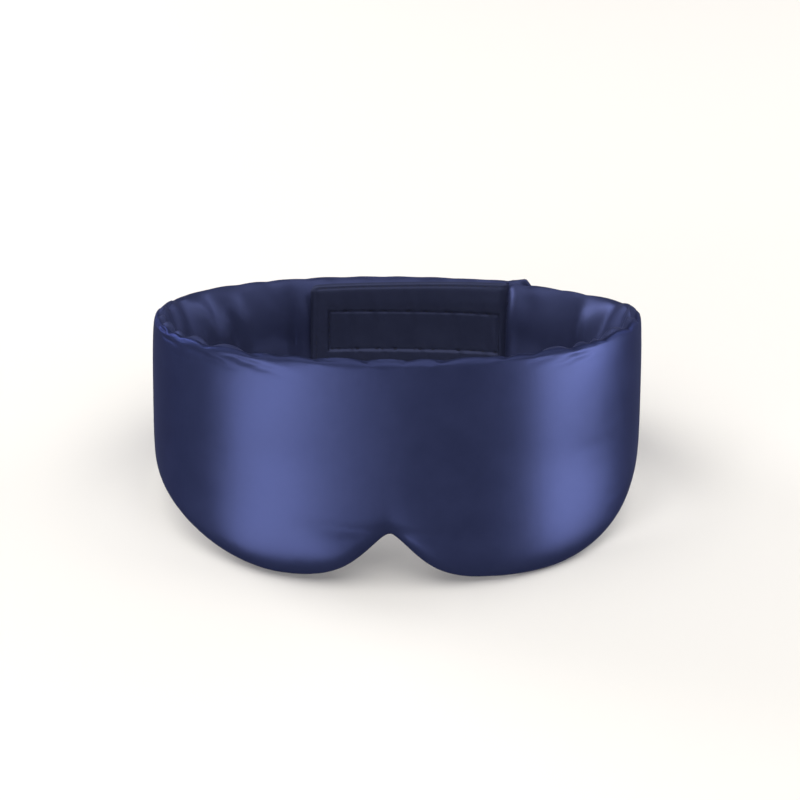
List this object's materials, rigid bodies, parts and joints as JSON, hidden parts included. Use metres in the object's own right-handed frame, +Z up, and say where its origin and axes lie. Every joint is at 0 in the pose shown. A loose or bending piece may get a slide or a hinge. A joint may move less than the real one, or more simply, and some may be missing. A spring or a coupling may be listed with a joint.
{
  "type": "sleep eye mask",
  "caption": "Padded wrap-around sleep mask in navy satin: two cheek lobes with a nose notch, a padded band all round and a hook-and-loop tab that closes it at the back.",
  "frame": {"origin": "centre of the footprint, on the surface that the mask stands on: its two lobes and the lower edge of its back band", "axes": "+X to the right as seen from in front of the mask (the wearer's left), +Y from the front panel to the back closure, +Z up. The loop's own axis leans back from +Z by the angle at which the mask stands"},
  "size_m": [0.2152, 0.1962, 0.094],
  "materials": {
    "satin": "navy polyester satin, smooth and softly glossy",
    "satin_lining": "the same satin, gathered, with folds",
    "blackout_cloth": "black coated blackout cloth, matt",
    "wadding": "white polyester wadding",
    "interlining": "white non-woven stiffener",
    "loop_tape": "navy brushed loop pile",
    "hook_tape": "navy moulded hooks on woven tape",
    "thread": "navy polyester sewing thread"
  },
  "bodies": {
    "front": {"front_outer_shell": "satin", "front_blackout_layer": "blackout_cloth", "front_wadding": "wadding", "front_lining": "satin_lining"},
    "left_band": {"left_band_outer_shell": "satin", "left_band_wadding": "wadding", "left_band_lining": "satin_lining", "loop_patch": "loop_tape", "loop_patch_stitching": "thread", "left_band_end_stitching": "thread"},
    "right_band": {"right_band_outer_shell": "satin", "right_band_wadding": "wadding", "right_band_lining": "satin_lining", "tab_joining_stitching": "thread"},
    "closure_tab": {"tab_outer_face": "satin", "tab_interlining": "interlining", "tab_inner_face": "satin_lining", "hook_patch": "hook_tape", "hook_patch_stitching": "thread", "tab_edge_stitching": "thread"}
  },
  "joints": [
    {"name": "left_band_open", "type": "hinge", "parent": "front", "child": "left_band", "pos_m": [-0.1078, 0.01155, 0.07188], "axis": [0, 0.2427, 0.9701], "range_deg": [0, 95]},
    {"name": "right_band_open", "type": "hinge", "parent": "front", "child": "right_band", "pos_m": [0.1078, 0.01155, 0.07188], "axis": [0, 0.2427, 0.9701], "range_deg": [-57, 0]},
    {"name": "tab_peel", "type": "hinge", "parent": "right_band", "child": "closure_tab", "pos_m": [0.04743, 0.07597, 0.05576], "axis": [0, 0.2427, 0.9701], "range_deg": [0, 60]}
  ],
  "couplings": [
    {"joint": "right_band_open", "follows": "left_band_open", "ratio": -0.6}
  ]
}
